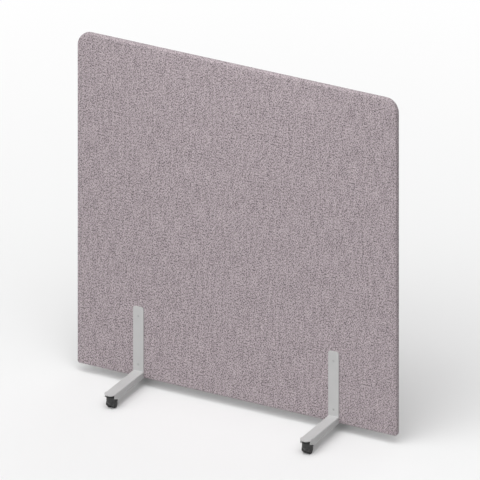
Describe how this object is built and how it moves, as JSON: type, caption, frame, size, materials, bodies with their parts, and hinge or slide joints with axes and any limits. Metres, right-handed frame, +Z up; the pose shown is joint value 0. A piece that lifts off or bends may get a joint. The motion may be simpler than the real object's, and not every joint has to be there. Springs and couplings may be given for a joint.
{
  "type": "rolling partition",
  "caption": "Free-standing upholstered partition: a flat fabric-covered panel with rounded top corners on folded steel feet with hooded twin-wheel swivel casters.",
  "frame": {"origin": "on the floor, under the middle of the panel", "axes": "+X along the panel to the right as seen from the front, +Y through the panel to its rear face, +Z up"},
  "size_m": [1.6, 0.604, 1.513],
  "materials": {
    "cover_fabric": "mauve-grey melange weave",
    "zip_tape": "black zip tape",
    "foam": "soft foam",
    "sound_wool": "pressed fibre",
    "timber": "raw plywood",
    "hardboard": "raw hardboard",
    "grey_paint": "satin light grey powder coat",
    "zinc_steel": "bright zinc plate",
    "black_nylon": "black moulded nylon"
  },
  "bodies": {
    "partition": {"top_rail": "timber", "bottom_rail": "timber", "left_stile": "timber", "right_stile": "timber", "left_leg_stile": "timber", "right_leg_stile": "timber", "frame_dowels": "timber", "left_infill": "sound_wool", "centre_infill": "sound_wool", "right_infill": "sound_wool", "front_board": "hardboard", "rear_board": "hardboard", "front_foam": "foam", "rear_foam": "foam", "edge_padding": "foam", "fabric_cover": "cover_fabric", "cover_zip": "zip_tape", "panel_sleeves": "zinc_steel", "front_foot_screws": "zinc_steel", "rear_foot_screws": "zinc_steel", "left_front_foot": "grey_paint", "right_front_foot": "grey_paint", "left_rear_foot": "grey_paint", "right_rear_foot": "grey_paint", "weld_nuts": "zinc_steel", "caster_stems": "zinc_steel", "stem_rings": "zinc_steel"},
    "left_front_caster": {"left_front_hood": "black_nylon", "left_front_axle": "zinc_steel"},
    "left_front_outer_wheel_body": {"left_front_outer_wheel": "black_nylon"},
    "left_front_inner_wheel_body": {"left_front_inner_wheel": "black_nylon"},
    "right_front_caster": {"right_front_hood": "black_nylon", "right_front_axle": "zinc_steel"},
    "right_front_outer_wheel_body": {"right_front_outer_wheel": "black_nylon"},
    "right_front_inner_wheel_body": {"right_front_inner_wheel": "black_nylon"},
    "left_rear_caster": {"left_rear_hood": "black_nylon", "left_rear_axle": "zinc_steel"},
    "left_rear_outer_wheel_body": {"left_rear_outer_wheel": "black_nylon"},
    "left_rear_inner_wheel_body": {"left_rear_inner_wheel": "black_nylon"},
    "right_rear_caster": {"right_rear_hood": "black_nylon", "right_rear_axle": "zinc_steel"},
    "right_rear_outer_wheel_body": {"right_rear_outer_wheel": "black_nylon"},
    "right_rear_inner_wheel_body": {"right_rear_inner_wheel": "black_nylon"}
  },
  "joints": [
    {"name": "left_front_swivel", "type": "hinge", "parent": "partition", "child": "left_front_caster", "pos_m": [-0.489, -0.275, 0.04], "axis": [0, 0, 1], "continuous": true},
    {"name": "left_front_outer_spin", "type": "hinge", "parent": "left_front_caster", "child": "left_front_outer_wheel_body", "pos_m": [-0.489, -0.261, 0.0185], "axis": [1, 0, 0], "continuous": true},
    {"name": "left_front_inner_spin", "type": "hinge", "parent": "left_front_caster", "child": "left_front_inner_wheel_body", "pos_m": [-0.489, -0.261, 0.0185], "axis": [1, 0, 0], "continuous": true},
    {"name": "right_front_swivel", "type": "hinge", "parent": "partition", "child": "right_front_caster", "pos_m": [0.489, -0.275, 0.04], "axis": [0, 0, 1], "continuous": true},
    {"name": "right_front_outer_spin", "type": "hinge", "parent": "right_front_caster", "child": "right_front_outer_wheel_body", "pos_m": [0.489, -0.261, 0.0185], "axis": [1, 0, 0], "continuous": true},
    {"name": "right_front_inner_spin", "type": "hinge", "parent": "right_front_caster", "child": "right_front_inner_wheel_body", "pos_m": [0.489, -0.261, 0.0185], "axis": [1, 0, 0], "continuous": true},
    {"name": "left_rear_swivel", "type": "hinge", "parent": "partition", "child": "left_rear_caster", "pos_m": [-0.489, 0.275, 0.04], "axis": [0, 0, 1], "continuous": true},
    {"name": "left_rear_outer_spin", "type": "hinge", "parent": "left_rear_caster", "child": "left_rear_outer_wheel_body", "pos_m": [-0.489, 0.261, 0.0185], "axis": [1, 0, 0], "continuous": true},
    {"name": "left_rear_inner_spin", "type": "hinge", "parent": "left_rear_caster", "child": "left_rear_inner_wheel_body", "pos_m": [-0.489, 0.261, 0.0185], "axis": [1, 0, 0], "continuous": true},
    {"name": "right_rear_swivel", "type": "hinge", "parent": "partition", "child": "right_rear_caster", "pos_m": [0.489, 0.275, 0.04], "axis": [0, 0, 1], "continuous": true},
    {"name": "right_rear_outer_spin", "type": "hinge", "parent": "right_rear_caster", "child": "right_rear_outer_wheel_body", "pos_m": [0.489, 0.261, 0.0185], "axis": [1, 0, 0], "continuous": true},
    {"name": "right_rear_inner_spin", "type": "hinge", "parent": "right_rear_caster", "child": "right_rear_inner_wheel_body", "pos_m": [0.489, 0.261, 0.0185], "axis": [1, 0, 0], "continuous": true}
  ]
}
